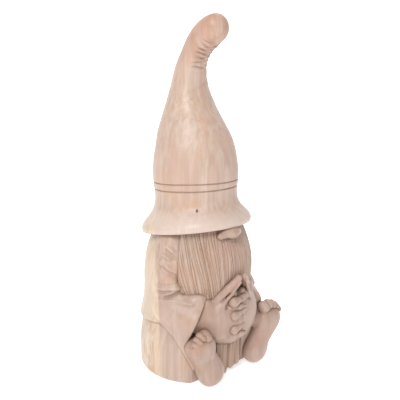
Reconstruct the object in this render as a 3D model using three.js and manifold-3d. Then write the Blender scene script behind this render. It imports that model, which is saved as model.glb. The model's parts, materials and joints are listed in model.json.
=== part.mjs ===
// A carved wooden tomte: a gnome that sits with his hands clasped, under a tall hat with a curled tip.
// Units are millimetres. +Z is up, the gnome faces -Y, and the origin is under the hat's axis at floor level.
import * as THREE from "three";
import { mergeVertices } from "three/addons/utils/BufferGeometryUtils.js";
import Module from "manifold-3d";

const wasm = await Module();
wasm.setup();

// ---- Driving dimensions -------------------------------------------------------------------------
const GAP = 0.3; // clearance between one carved form and the next
const HEM_Z = 46; // lower edge of the coat, where it laps over the trousers
const CORE_R = 33; // the solid middle that the beard and the sleeves wrap round
const CORE_Z = 40; // foot of that solid middle
const LEG_FRONT_Y = -31; // flat front of the trousers, which the beard's end stands against
const FEET_BACK_Y = -33; // flat back of the feet
const BRIM_TILT = 8; // degrees that the brim rises towards the front
const BRIM_Z = 129; // height of the brim's underside on the axis
const FAR = 90; // reaches past the whole figure from its axis, for cutters

const WOOD = { color: 0xcfae98, roughness: 0.6, metalness: 0 };
const BRIM_SLOPE = Math.tan(THREE.MathUtils.degToRad(BRIM_TILT));

const point = (x, y, z) => new THREE.Vector3(x, y, z);
const mirrored = (side, [x, y, z]) => point(side * x, y, z);

// ---- Geometry helpers ---------------------------------------------------------------------------

// The manifold solid of a closed three.js geometry.
function solid(geometry) {
  const bare = geometry.index ? geometry.toNonIndexed() : geometry.clone();
  for (const name of Object.keys(bare.attributes)) {
    if (name !== "position") bare.deleteAttribute(name);
  }
  const merged = mergeVertices(bare, 1e-4);
  const corners = merged.index.array;
  const kept = [];
  for (let i = 0; i < corners.length; i += 3) {
    const [a, b, c] = corners.subarray(i, i + 3);
    if (a !== b && b !== c && c !== a) kept.push(a, b, c);
  }
  const mesh = new wasm.Mesh({
    numProp: 3,
    vertProperties: merged.attributes.position.array,
    triVerts: new Uint32Array(kept),
  });
  return new wasm.Manifold(mesh);
}

const join = (...solids) => solids.reduce((whole, next) => whole.add(next));
const cut = (whole, ...tools) => tools.reduce((rest, tool) => rest.subtract(tool), whole);
const largest = (whole) => whole.decompose().reduce((a, b) => (b.volume() > a.volume() ? b : a));

// An ellipsoid with its radii along X, Y and Z.
function ball(centre, radii, around) {
  const sphere = new THREE.SphereGeometry(1, around, Math.round(around * 0.6));
  sphere.scale(...radii);
  return solid(sphere.translate(centre.x, centre.y, centre.z));
}

// A rounded limb from one point to another, with its own radius at each end, flattened across one axis.
function limb(from, to, fromRadius, toRadius, { flat = 1, facing = point(0, 1, 0), around = 12 } = {}) {
  const length = from.distanceTo(to);
  const lean = Math.asin((fromRadius - toRadius) / length);
  const outline = [];
  const steps = 3;
  for (let i = 0; i <= steps; i++) {
    const a = -Math.PI / 2 + ((Math.PI / 2 + lean) * i) / steps;
    outline.push(new THREE.Vector2(fromRadius * Math.cos(a), fromRadius * Math.sin(a)));
  }
  for (let i = 0; i <= steps; i++) {
    const a = lean + ((Math.PI / 2 - lean) * i) / steps;
    outline.push(new THREE.Vector2(toRadius * Math.cos(a), length + toRadius * Math.sin(a)));
  }
  outline[0].x = 0;
  outline[outline.length - 1].x = 0;
  const turned = new THREE.LatheGeometry(outline, around);
  turned.scale(1, 1, flat);
  const along = to.clone().sub(from).normalize();
  const across = new THREE.Vector3().crossVectors(along, facing).normalize();
  const normal = new THREE.Vector3().crossVectors(across, along);
  const frame = new THREE.Matrix4().makeBasis(across, along, normal).setPosition(from);
  return upright(turned.applyMatrix4(frame));
}

// A solid whose faces point out, whichever way its lathe profile ran.
function upright(geometry) {
  const made = solid(geometry);
  return made.volume() > 0 ? made : solid(flipped(geometry));
}

function flipped(geometry) {
  const bare = geometry.index ? geometry.toNonIndexed() : geometry.clone();
  const p = bare.attributes.position.array;
  for (let i = 0; i < p.length; i += 9) {
    for (let k = 0; k < 3; k++) [p[i + 3 + k], p[i + 6 + k]] = [p[i + 6 + k], p[i + 3 + k]];
  }
  return bare;
}

// A turned solid about the Z axis from [radius, height] points, grown outwards by a clearance.
// With a ridge depth, every second line of its faces is drawn in, so that it is ridged lengthwise.
function turned(profile, grow = 0, around = 36, ridge = 0) {
  const low = profile[0][1];
  const high = profile[profile.length - 1][1];
  const outline = profile.map(
    ([r, z]) => new THREE.Vector2(r + grow, z + (z === low ? -grow : z === high ? grow : 0)),
  );
  outline.unshift(new THREE.Vector2(0, low - grow));
  outline.push(new THREE.Vector2(0, high + grow));
  const geometry = new THREE.LatheGeometry(outline, around);
  const spots = geometry.attributes.position;
  for (let i = 0; ridge && i < spots.count; i++) {
    const sector = Math.floor(i / outline.length);
    const radius = Math.hypot(spots.getX(i), spots.getZ(i));
    const draw = sector % 2 && radius > 1 ? 1 - ridge / radius : 1;
    spots.setXYZ(i, spots.getX(i) * draw, spots.getY(i), spots.getZ(i) * draw);
  }
  return upright(geometry.rotateX(Math.PI / 2));
}

// Profile points smoothed into a curve, so that a few of them make a round outline.
function smooth(profile, count) {
  const curve = new THREE.SplineCurve(profile.map(([r, z]) => new THREE.Vector2(r, z)));
  return curve.getPoints(count).map((p) => [p.x, p.y]);
}

// An outline in the YZ plane, given as [y, z] points, run along X from one side to the other.
function sidePrism(outline, fromX, toX) {
  const shape = new THREE.Shape(outline.map(([y, z]) => new THREE.Vector2(y, z)));
  const run = new THREE.ExtrudeGeometry(shape, { depth: toX - fromX, bevelEnabled: false });
  const frame = new THREE.Matrix4().makeBasis(point(0, 1, 0), point(0, 0, 1), point(1, 0, 0));
  return solid(run.applyMatrix4(frame).translate(fromX, 0, 0));
}

// An outline in the XZ plane, given as [x, z] points, run along Y.
function frontPrism(outline, fromY, toY) {
  const shape = new THREE.Shape(outline.map(([x, z]) => new THREE.Vector2(x, z)));
  const run = new THREE.ExtrudeGeometry(shape, { depth: toY - fromY, bevelEnabled: false });
  return solid(run.rotateX(Math.PI / 2).translate(0, toY, 0));
}

// An outline in the XY plane, given as [x, y] points, run up Z.
function planPrism(outline, fromZ, toZ) {
  const shape = new THREE.Shape(outline.map(([x, y]) => new THREE.Vector2(x, y)));
  const run = new THREE.ExtrudeGeometry(shape, { depth: toZ - fromZ, bevelEnabled: false });
  return solid(run.translate(0, 0, fromZ));
}

function box(low, high) {
  const size = high.clone().sub(low);
  const middle = low.clone().add(high).multiplyScalar(0.5);
  const made = new THREE.BoxGeometry(size.x, size.y, size.z);
  return solid(made.translate(middle.x, middle.y, middle.z));
}

// ---- Hat ----------------------------------------------------------------------------------------

// The hat's centre line in the middle plane: it leans back, then curls forward at the tip.
const HAT_LINE = new THREE.CatmullRomCurve3(
  [
    [0, 124], [0.3, 160], [1, 178], [2.2, 191], [5.1, 207], [7.4, 224], [8, 240],
    [6.1, 257], [1.9, 267.5], [-4.8, 277.4], [-13.5, 284.9], [-22, 289], [-34, 290],
  ].map(([y, z]) => point(0, y, z)),
);
const HAT_START = 124; // length along the centre line is counted so that it starts at this height
const HAT_LENGTH = HAT_LINE.getLength();

// Radius of the hat against length along the centre line.
const HAT_RADII = [
  [47.2, 126], [48.2, 128.4], [46.6, 132], [42.2, 137], [38.4, 141.5], [36.2, 146], [35.2, 151],
  [35.2, 157], [36, 162.5], [36.4, 170], [36.1, 178], [34.3, 191], [29.6, 207.5], [22.7, 225],
  [17, 241.3], [13.2, 258.4], [11.5, 269.7], [11.7, 281.7], [12.2, 292.4], [11.6, 301.8],
];
const GROOVES = [159.6, 165.4]; // lengths at which the two lines are cut round the band
const GROOVE_DEPTH = 1;
const GROOVE_HALF = 0.8;
const CREASES = { from: 262, spacing: 6, count: 6, depth: 1.1 }; // wrinkles inside the curl

// The hollow under the brim, as [radius, length] points from its ceiling out to the brim's edge.
const HAT_HOLLOW = [[0, BRIM_Z + 2], [41, BRIM_Z + 2], [43.5, 126.4], [45, 125.4]];

// The [radius, length] outline, with V-shaped notches for the grooves and a domed end.
function hatOutline(grow) {
  const wall = smooth(HAT_RADII, 34).map(([r, s]) => [r + grow, s]);
  const nearest = (at) => wall.reduce((a, b) => (Math.abs(b[1] - at) < Math.abs(a[1] - at) ? b : a))[0];
  const clear = wall.filter(([, s]) => GROOVES.every((at) => Math.abs(s - at) > GROOVE_HALF + 0.4));
  const notches = GROOVES.flatMap((at) => [
    [nearest(at), at - GROOVE_HALF],
    [nearest(at) - GROOVE_DEPTH, at],
    [nearest(at), at + GROOVE_HALF],
  ]);
  const side = [...clear, ...notches].sort((a, b) => a[1] - b[1]);
  const [endR, endS] = side[side.length - 1];
  const steps = 4;
  for (let i = 1; i < steps; i++) {
    const a = (Math.PI / 2) * (i / steps);
    side.push([endR * Math.cos(a), endS + endR * Math.sin(a) * 0.9]);
  }
  const hollow = HAT_HOLLOW.map(([r, s]) => [Math.max(0, r - grow), s - grow]);
  return [...hollow, ...side, [0, endS + endR * 0.9]];
}

// The brim's tilt dies away up the hat.
const tiltAt = (s) => BRIM_SLOPE * (1 - THREE.MathUtils.smoothstep(s, 130, 182));

// How far the wrinkles draw in the wall, on the inner side of the curl only.
function creaseAt(s, inner) {
  const { from, spacing, count, depth } = CREASES;
  const turn = (s - from) / spacing;
  if (turn < 0 || turn > count) return 0;
  return depth * Math.max(0, inner) * (0.5 - 0.5 * Math.cos(turn * 2 * Math.PI));
}

function hat(grow = 0) {
  const outline = hatOutline(grow).map(([r, s]) => new THREE.Vector2(r, s));
  const geometry = new THREE.LatheGeometry(outline, 32);
  const spots = geometry.attributes.position;
  for (let i = 0; i < spots.count; i++) {
    const [x, s, across] = [spots.getX(i), spots.getY(i), spots.getZ(i)];
    const radius = Math.max(1e-6, Math.hypot(x, across));
    const share = THREE.MathUtils.clamp((s - HAT_START) / HAT_LENGTH, 0, 1);
    const centre = HAT_LINE.getPointAt(share);
    const along = HAT_LINE.getTangentAt(share);
    const draw = 1 - creaseAt(s, -across / radius) / radius;
    const y = centre.y + across * draw * along.z;
    const z = centre.z - across * draw * along.y;
    spots.setXYZ(i, x * draw, y, z - y * tiltAt(s));
  }
  return upright(geometry);
}

// ---- Body ---------------------------------------------------------------------------------------

const COAT_PROFILE = [
  [48.6, HEM_Z], [49.6, HEM_Z + 3], [48.2, 56], [46.5, 66], [46.2, 76], [46, 86], [45, 95],
  [43.6, 104], [41, 113], [38.2, 120], [35.5, 127], [33, 136],
];
const BEARD_PROFILE = [
  [42, 58], [45.5, 70], [48, 84], [48.6, 94], [47.6, 104], [45.4, 113], [42.6, 121], [39.5, 129], [37, 138],
];
const SLEEVE_PROFILE = [
  [50, 8], [52.5, 26], [53, 44], [53.2, 60], [52.4, 76], [50, 90], [47.6, 104], [44, 114], [40, 122], [36, 130],
];
const TROUSERS_PROFILE = [
  [43, 0], [46.6, 2.2], [48.8, 6.5], [50, 14], [50, 26], [48.6, 36], [47, HEM_Z - GAP],
];
const BEARD_HALF_ANGLE = 65;

const SLEEVE_FOOT_Z = 13; // the sleeve's lowest point, beside the foot

// The opening of the cuff seen from the front, as [x, z], with the hand and the foot inside it.
const CUFF_OPENING = [[0, 100], [16, 78], [21, 70], [31, 40], [34, 24], [34, 0], [0, 0]];

// The sleeve's edge seen from the side, as [y, z]: the shoulder, the line along the beard, the cuff, the
// point at the foot, and the long slanting edge back up to the shoulder blade.
const SLEEVE_SIDE = [
  [12, 130], [-19, 130], [-21, 106], [-27, 86], [-38, 75], [-31, 42], [-36, 24], [-33, 13],
  [-27, 33], [-20.6, 43], [-5.4, 56], [4.3, 70], [10, 86], [15, 104],
];

// The bent arm in each sleeve, as [x out from the middle, y, z] points.
const ARM = { shoulder: [30, 0, 116], elbow: [39, -8, 80], fore: [38, -10, 66], cuff: [33, -27, 57] };
const ARM_R = { shoulder: 13, elbow: 14, fore: 14.5, cuff: 13.5 };
const DRAPE_INNER = 22; // how near the middle the sleeve's drape reaches

const BEARD_STRANDS = 70; // ridges in a full turn, of which the beard shows about a third
const STRAND_DEPTH = 0.9;

// The middle of the figure, which stays one solid with the coat.
const core = (grow = 0) => turned([[CORE_R, CORE_Z], [CORE_R, HEAD.to]], grow);
const coat = (grow = 0) => turned(smooth(COAT_PROFILE, 12), grow);
const trousers = () => turned(TROUSERS_PROFILE);

// The beard is a thick shell round the front of the core, ridged lengthwise like combed hair.
function beard(grow = 0) {
  const half = THREE.MathUtils.degToRad(BEARD_HALF_ANGLE);
  const apexY = grow / Math.sin(half);
  const [edgeX, edgeY] = [FAR * Math.sin(half), apexY - FAR * Math.cos(half)];
  const outline = [[0, apexY], [-edgeX, edgeY], [-FAR, -FAR], [FAR, -FAR], [edgeX, edgeY]];
  const sector = planPrism(outline, HEM_Z, HEM_Z + FAR + GAP);
  const ridged = turned(smooth(BEARD_PROFILE, 9), grow, BEARD_STRANDS * 2, grow ? 0 : STRAND_DEPTH);
  return cut(ridged.intersect(sector), core(GAP - grow));
}

// One sleeve: a loose drape against the coat, with a bent arm in it that ends in an open cuff.
function sleeve(side, grow = 0) {
  const bone = (from, to) => limb(
    mirrored(side, ARM[from]), mirrored(side, ARM[to]), ARM_R[from] + grow, ARM_R[to] + grow, { around: 16 },
  );
  const wall = turned(smooth(SLEEVE_PROFILE, 12), grow);
  const drape = side < 0
    ? sidePrism(SLEEVE_SIDE, -FAR, -DRAPE_INNER)
    : sidePrism(SLEEVE_SIDE, DRAPE_INNER, FAR);
  const upperArm = bone("shoulder", "elbow");
  const forearm = bone("fore", "cuff");
  const opening = frontPrism(CUFF_OPENING.map(([x, z]) => [side * x, z]), -FAR, -8);
  const below = box(point(-FAR, -FAR, -10), point(FAR, FAR, SLEEVE_FOOT_Z - grow));
  const arm = join(join(drape, upperArm).intersect(wall), forearm);
  return cut(arm, core(GAP - grow), opening, below);
}

// ---- Hands --------------------------------------------------------------------------------------

const CLASP = { centre: point(0, -38, 54.5), radii: [24, 18, 25.5] };
const LEFT_FINGER_Z = [70.5, 58.8, 47]; // heights of the left fingers, whose tips lie on the right hand
const RIGHT_FINGER_Z = [64.6, 52.9, 41.1]; // the right fingers, between them and below
const KNUCKLE = { x: 9, y: -52.5, r: 2.4 };
const BEND = { x: 1, y: -54.8, r: 2.9 };
const TIP = { x: -8, y: -52.6, r: 3.4 };
const WRIST = { from: [29, -25, 58], to: [13, -35, 58], fromR: 11.5, toR: 13 };
const THUMB = { root: [17, -38, 68], joint: [9, -47, 81.5], tip: [4, -51.5, 89.5] };
const THUMB_R = { root: 5.5, joint: 4.2, tip: 3.2 };

// One finger lies across the front of the clasped hands, from its knuckle to its tip on the other hand.
function finger(side, z, grow = 0) {
  const place = (spot, rise) => mirrored(side, [spot.x, spot.y, z + rise]);
  return join(
    limb(place(KNUCKLE, 0.5), place(BEND, 0), KNUCKLE.r + grow, BEND.r + grow, { around: 10 }),
    limb(place(BEND, 0), place(TIP, -0.4), BEND.r + grow, TIP.r + grow, { around: 10 }),
  );
}

const fingers = (side, grow = 0) =>
  join(...(side > 0 ? LEFT_FINGER_Z : RIGHT_FINGER_Z).map((z) => finger(side, z, grow)));

// The back of one hand with its wrist and thumb. The palms meet on the middle plane.
function palm(side, grow = 0) {
  const at = (place) => mirrored(side, place);
  const back = ball(CLASP.centre, CLASP.radii.map((r) => r + grow), 24);
  const wrist = limb(at(WRIST.from), at(WRIST.to), WRIST.fromR + grow, WRIST.toR + grow);
  const bone = (from, to) => limb(at(THUMB[from]), at(THUMB[to]), THUMB_R[from] + grow, THUMB_R[to] + grow);
  const inner = GAP / 2 - grow;
  const half = side < 0
    ? box(point(-FAR, -FAR, 0), point(-inner, FAR, FAR + HEM_Z))
    : box(point(inner, -FAR, 0), point(FAR, FAR, FAR + HEM_Z));
  return join(back, wrist, bone("root", "joint"), bone("joint", "tip")).intersect(half);
}

// ---- Feet ---------------------------------------------------------------------------------------

// The point on the floor under each heel. The carved feet are not quite mirror images.
const HEELS = { "-1": point(-24, -43, 0), 1: point(31, -42, 2) };

// Toes from the big toe outwards, as [distance out from the heel, height, radius].
const TOES = [[7, 49.5, 5.3], [13.6, 51, 4.1], [19.6, 50.2, 3.8], [25, 47.8, 3.5], [29.2, 44.4, 3.2]];
const TOE_LENGTH = 10;
const BALL = { out: 14.5, z: 37, r: 14 };
const HEEL_R = 10.5;
const ANKLE = { z: 15, r: 9.5 };

// A bare foot that stands on its heel with the sole to the front.
function foot(side, grow = 0) {
  const at = (out, y, z) => point(side * out, y, z).add(HEELS[side]);
  const sole = limb(
    at(1, 0, HEEL_R), at(BALL.out, -2.5, BALL.z), HEEL_R - 0.5 + grow, BALL.r + grow, { flat: 0.5, around: 16 },
  );
  const heel = ball(at(0, 0.5, HEEL_R), [HEEL_R + grow, 8 + grow, HEEL_R], 16);
  const ankle = limb(at(4, 12, ANKLE.z), at(3, 3, ANKLE.z), ANKLE.r + grow, ANKLE.r + grow);
  const toes = TOES.map(([out, z, r]) =>
    limb(at(out * 0.85 + 2, 0, z - TOE_LENGTH), at(out, -6, z), r + grow, r + grow, { around: 10 }));
  return cut(join(sole, heel, ankle, ...toes), box(point(-FAR, FEET_BACK_Y, -5), point(FAR, FAR, FAR)));
}

// ---- Beard's end --------------------------------------------------------------------------------

// Locks of the beard's end, side by side on the front of the trousers, as [x, y, radius, foot height].
const LOCKS = [
  [-10.5, -34, 3.6, 1.2], [-4.6, -35.5, 4, 0.6], [2, -34.6, 4, 1.4], [8.6, -34.2, 4, 1.6], [14.4, -33.6, 3.6, 2],
];
const LOCK_TOP_Z = 42; // the locks run up behind the hands

function beardEnd(grow = 0) {
  const locks = LOCKS.map(([x, y, r, foot]) =>
    limb(point(x, y, foot + r), point(x * 0.92, y, LOCK_TOP_Z), r + grow, r + grow, { around: 10 }));
  const backing = box(point(-13 - grow, -36, 3 - grow), point(17 + grow, LEG_FRONT_Y + grow, LOCK_TOP_Z));
  return join(backing, ...locks);
}

// ---- Face ---------------------------------------------------------------------------------------

// The nose is a round tip between two wings, on a bridge that is tucked up under the brim.
const NOSE = [
  { at: [-1, -43.5, 127], radii: [7, 6.4, 5.6] },
  { at: [-1, -38, 128], radii: [11, 7, 5.4] },
  { at: [-11, -40.5, 125.4], radii: [5.2, 4.6, 4.6] },
  { at: [9, -40.5, 126.2], radii: [5, 4.4, 4.4] },
];

function nose(grow = 0) {
  const lump = ({ at, radii }) => ball(point(...at), radii.map((r) => r + grow), 16);
  return join(...NOSE.map(lump));
}

// The head is a plain core that the hat sits on, hidden by the brim and the beard.
const HEAD = { r: CORE_R - 1, from: 112, to: 150 };

const head = (grow = 0) => turned([[HEAD.r, HEAD.from], [HEAD.r, HEAD.to]], grow);

// ---- The separate pieces ------------------------------------------------------------------------

// Everything above the hollow of the hat, cut from whatever stands up into it.
const ceilingZ = (y) => HAT_HOLLOW[0][1] - GAP - 0.1 - y * BRIM_SLOPE;
const ceiling = sidePrism(
  [[-FAR, ceilingZ(-FAR)], [FAR, ceilingZ(FAR)], [FAR, 200], [-FAR, 200]],
  -FAR,
  FAR,
);
const hatCutter = hat(GAP);
const hands = join(palm(1, GAP), palm(-1, GAP), fingers(1, GAP), fingers(-1, GAP));
const sleeves = join(sleeve(1, GAP), sleeve(-1, GAP));
const feet = join(foot(1, GAP), foot(-1, GAP));
const LAP_Z = HEM_Z + 20; // below this the coat stops behind the hands
const inFrontOfLegs = box(point(-FAR, -FAR, -5), point(FAR, LEG_FRONT_Y, FAR));
const inFrontOfLap = box(point(-FAR, -FAR, -5), point(FAR, LEG_FRONT_Y, LAP_Z));
const behindLegFront = box(point(-FAR, LEG_FRONT_Y - GAP, -5), point(FAR, FAR, FAR));

const pieces = {
  hat: hat(),
  head: cut(head(), ceiling),
  nose: cut(nose(), ceiling, hatCutter, head(GAP)),
  beard: cut(beard(), ceiling, hatCutter, nose(GAP), hands, sleeves),
  coat: cut(coat(), inFrontOfLap, ceiling, hatCutter, head(GAP), beard(GAP), nose(GAP), sleeves, hands),
  sleeve_right: cut(sleeve(-1), ceiling, hatCutter, hands, feet),
  sleeve_left: cut(sleeve(1), ceiling, hatCutter, hands, feet),
  hand_right: cut(join(palm(-1), fingers(-1)), fingers(1, GAP), palm(1, GAP)),
  hand_left: join(palm(1), fingers(1)),
  beard_end: cut(beardEnd(), behindLegFront, hands, feet, coat(GAP)),
  trousers: cut(trousers(), inFrontOfLegs, sleeves, feet, hands),
  foot_right: cut(foot(-1), hands),
  foot_left: cut(foot(1), hands),
};

const group = new THREE.Group();
for (const [name, made] of Object.entries(pieces)) {
  const { vertProperties, triVerts } = largest(made).getMesh();
  const geometry = new THREE.BufferGeometry();
  geometry.setAttribute("position", new THREE.BufferAttribute(new Float32Array(vertProperties), 3));
  geometry.setIndex(new THREE.BufferAttribute(new Uint32Array(triVerts), 1));
  geometry.computeVertexNormals();
  const mesh = new THREE.Mesh(geometry, new THREE.MeshStandardMaterial(WOOD));
  mesh.name = name;
  group.add(mesh);
}

export default group;
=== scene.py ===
"""A carved wooden tomte, sculpted as one field of distances and cut into the CAD's nodes.

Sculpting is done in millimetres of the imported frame: +Z up, -Y to the gnome's front.
"""

import json
import math

import bpy
import numpy as np
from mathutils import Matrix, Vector


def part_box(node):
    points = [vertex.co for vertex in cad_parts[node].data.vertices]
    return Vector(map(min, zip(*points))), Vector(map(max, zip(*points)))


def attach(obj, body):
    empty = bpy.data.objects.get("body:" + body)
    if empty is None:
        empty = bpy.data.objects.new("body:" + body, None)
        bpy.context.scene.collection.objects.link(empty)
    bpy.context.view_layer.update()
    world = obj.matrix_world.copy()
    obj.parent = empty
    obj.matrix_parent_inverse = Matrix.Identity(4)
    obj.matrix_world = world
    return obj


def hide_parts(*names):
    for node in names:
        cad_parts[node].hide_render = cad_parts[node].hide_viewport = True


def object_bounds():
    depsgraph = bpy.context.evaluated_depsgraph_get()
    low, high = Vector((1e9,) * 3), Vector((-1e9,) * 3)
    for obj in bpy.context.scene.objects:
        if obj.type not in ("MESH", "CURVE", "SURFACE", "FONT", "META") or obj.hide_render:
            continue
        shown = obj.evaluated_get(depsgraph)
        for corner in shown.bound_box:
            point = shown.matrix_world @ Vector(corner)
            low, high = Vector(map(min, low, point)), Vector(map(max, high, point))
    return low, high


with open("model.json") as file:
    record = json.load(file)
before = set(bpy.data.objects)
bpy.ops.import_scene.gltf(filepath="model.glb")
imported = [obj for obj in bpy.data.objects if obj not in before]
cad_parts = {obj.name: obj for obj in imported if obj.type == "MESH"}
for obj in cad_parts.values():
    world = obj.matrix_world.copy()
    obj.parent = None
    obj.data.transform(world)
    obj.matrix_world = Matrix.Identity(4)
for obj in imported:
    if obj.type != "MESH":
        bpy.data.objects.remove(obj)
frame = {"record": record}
cad_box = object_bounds()

MM = 0.001
COARSER = 1.0

# ---- Places taken from the frame ------------------------------------------------------------------


def box_mm(node):
    """A node's lowest and highest corner, in millimetres."""
    lo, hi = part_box(node)
    return np.array(lo) / MM, np.array(hi) / MM


HAT_LO, HAT_HI = box_mm("hat")
FLOOR_Z = box_mm("trousers")[0][2]
SEAT_R = box_mm("trousers")[1][1]
HEM_Z = box_mm("coat")[0][2]
HANDS_LO = box_mm("hand_right")[0]
NOSE_LO, NOSE_HI = box_mm("nose")
TOP_Z = box_mm("coat")[1][2]
BRIM_R = HAT_HI[0]
BRIM_SLOPE = math.tan(math.radians(8))

SIDES = {"right": -1, "left": 1}

# ---- Distance fields ------------------------------------------------------------------------------


def smooth_min(a, b, k):
    h = np.maximum(k - np.abs(a - b), 0) / k
    return np.minimum(a, b) - h * h * k / 4


def smooth_max(a, b, k):
    return -smooth_min(-a, -b, k)


def ellipsoid(p, centre, radii):
    q = p - np.array(centre, np.float32)
    r = np.array(radii, np.float32)
    k0 = np.sqrt(((q / r) ** 2).sum(1))
    k1 = np.sqrt(((q / (r * r)) ** 2).sum(1))
    return k0 * (k0 - 1) / np.maximum(k1, 1e-6)


def limb(p, a, b, ra, rb, flat=1.0):
    """A rounded limb from a to b. Below 1, flat thins it from front to back."""
    scale = np.array([1, 1 / flat, 1], np.float32)
    a = np.array(a, np.float32) * scale
    b = np.array(b, np.float32) * scale
    q = p * scale - a
    ab = b - a
    t = np.clip(q @ ab / (ab @ ab), 0, 1)
    d = np.sqrt(((q - t[:, None] * ab) ** 2).sum(1))
    return (d - (ra + (rb - ra) * t)) * flat


def smooth_curve(points, count=200):
    """A Catmull-Rom curve through (value, parameter) points, as a table for np.interp."""
    pts = np.array(points, float)
    t = np.arange(len(pts))
    fine = np.linspace(0, len(pts) - 1, count)
    i = np.clip(fine.astype(int), 0, len(pts) - 2)
    f = (fine - t[i])[:, None]
    p1, p2 = pts[i], pts[i + 1]
    p0, p3 = pts[np.maximum(i - 1, 0)], pts[np.minimum(i + 2, len(pts) - 1)]
    m1, m2 = (p2 - p0) / 2, (p3 - p1) / 2
    return (
        (2 * f**3 - 3 * f**2 + 1) * p1
        + (f**3 - 2 * f**2 + f) * m1
        + (3 * f**2 - 2 * f**3) * p2
        + (f**3 - f**2) * m2
    )


class Turned:
    """A round form about the Z axis, from [radius, height] points."""

    def __init__(self, profile):
        curve = smooth_curve(profile)
        self.z = curve[:, 1]
        self.r = curve[:, 0]
        self.slope = np.gradient(self.r, self.z)

    def __call__(self, p):
        radius = np.hypot(p[:, 0], p[:, 1])
        at = np.interp(p[:, 2], self.z, self.r)
        slope = np.interp(p[:, 2], self.z, self.slope)
        return (radius - at) / np.sqrt(1 + slope * slope)


def outline_distance(u, v, outline):
    """Signed distance to a closed outline in a plane, negative inside."""
    pts = np.array(outline, np.float32)
    best = np.full(u.shape, 1e9, np.float32)
    inside = np.zeros(u.shape, bool)
    for (x0, y0), (x1, y1) in zip(pts, np.roll(pts, -1, axis=0)):
        ex, ey = x1 - x0, y1 - y0
        t = np.clip(((u - x0) * ex + (v - y0) * ey) / (ex * ex + ey * ey), 0, 1)
        best = np.minimum(best, (u - x0 - t * ex) ** 2 + (v - y0 - t * ey) ** 2)
        crosses = (y0 > v) != (y1 > v)
        inside ^= crosses & (u < (x1 - x0) * (v - y0) / (y1 - y0 + 1e-9) + x0)
    return np.where(inside, -1, 1) * np.sqrt(best)


def bump_window(value, lo, hi, soft):
    """1 between lo and hi, easing to 0 over soft on each side."""
    rise = np.clip((value - lo) / soft, 0, 1)
    fall = np.clip((hi - value) / soft, 0, 1)
    both = rise * fall
    return both * both * (3 - 2 * both)


def path_distance(u, v, points):
    """Distance to a line of points in a plane."""
    best = np.full(u.shape, 1e9, np.float32)
    for (x0, y0), (x1, y1) in zip(points, points[1:]):
        ex, ey = x1 - x0, y1 - y0
        t = np.clip(((u - x0) * ex + (v - y0) * ey) / (ex * ex + ey * ey), 0, 1)
        best = np.minimum(best, (u - x0 - t * ex) ** 2 + (v - y0 - t * ey) ** 2)
    return np.sqrt(best)


def crease(p, points, depth, width):
    """A soft groove along a line of points, as a depth to add to a distance."""
    best = np.full(len(p), 1e9, np.float32)
    for a, b in zip(points, points[1:]):
        best = np.minimum(best, limb(p, a, b, 0, 0))
    return depth * np.exp(-((best / width) ** 2))


def scatter(index):
    """A repeatable number from 0 to 1 for each whole number."""
    return np.mod(np.sin(index * 12.9898) * 43758.5453, 1.0)


# ---- Carved forms ---------------------------------------------------------------------------------

COAT = Turned([
    [48.4, 34], [49.4, 44], [49.6, 49], [48.2, 56], [46.5, 66], [46.1, 76], [45.9, 86], [45, 95],
    [43.6, 104], [41, 113], [38.2, 120], [35.5, 127], [33, 136],
])
BEARD = Turned([
    [42, 58], [45.5, 70], [47.8, 84], [48.3, 94], [47.4, 104], [45.2, 113], [42.4, 121], [39.5, 129],
    [37, 138],
])
DRAPE = Turned([
    [49.5, 8], [51.3, 26], [51.8, 44], [51.6, 60], [50.6, 76], [48.6, 90], [46.4, 104], [43, 114],
    [39.6, 122], [36, 130],
])
SEAT = Turned([[SEAT_R, -6], [SEAT_R, 12], [SEAT_R, 26], [48.6, 37], [46.5, 48], [45, 56]])

# The sleeve's edge seen from the side, as [y, z], as in the CAD.
SLEEVE_SIDE = [
    [14, 136], [-20, 136], [-21, 106], [-27, 86], [-38, 78], [-44, 60], [-40, 30], [-38, 8],
    [-33, 14], [-27, 31], [-20.6, 42.5], [-5.4, 55.5], [4.3, 69.5], [10, 86], [14, 104],
]
CUFF_POINT = np.array([26, -29, 55.5], np.float32)
CUFF_NORMAL = np.array([-0.575, -0.719, -0.39], np.float32)

HAND_CENTRE = [0, (HANDS_LO[1] + 1.7) + 18, 54.5]
FINGER_Z = {"left": [70.5, 58.8, 47], "right": [64.6, 52.9, 41.1]}

# Toes from the big toe outwards, as [distance out from the heel, height, radius]. The two carved feet
# are not quite mirror images.
TOES = {
    -1: [[9.6, 46.6, 5.1], [14.6, 47.4, 3.7], [17.6, 44.8, 3.3], [19.6, 41.2, 3.1], [20.8, 37.2, 3.0]],
    1: [[7.4, 49.3, 5.3], [13.4, 50.4, 4.1], [18.8, 49.0, 3.8], [23.4, 46.4, 3.5], [26.8, 43.0, 3.3]],
}


# Behind the hands and under the beard the coat stops at this upright face, below this height.
LAP_Y = box_mm("coat")[0][1]
LAP_Z = HEM_Z + 24


def mirrored(p, side):
    """The points as seen from the given side, so that +X is always outwards."""
    return p * np.array([side, 1, 1], np.float32)


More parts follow.
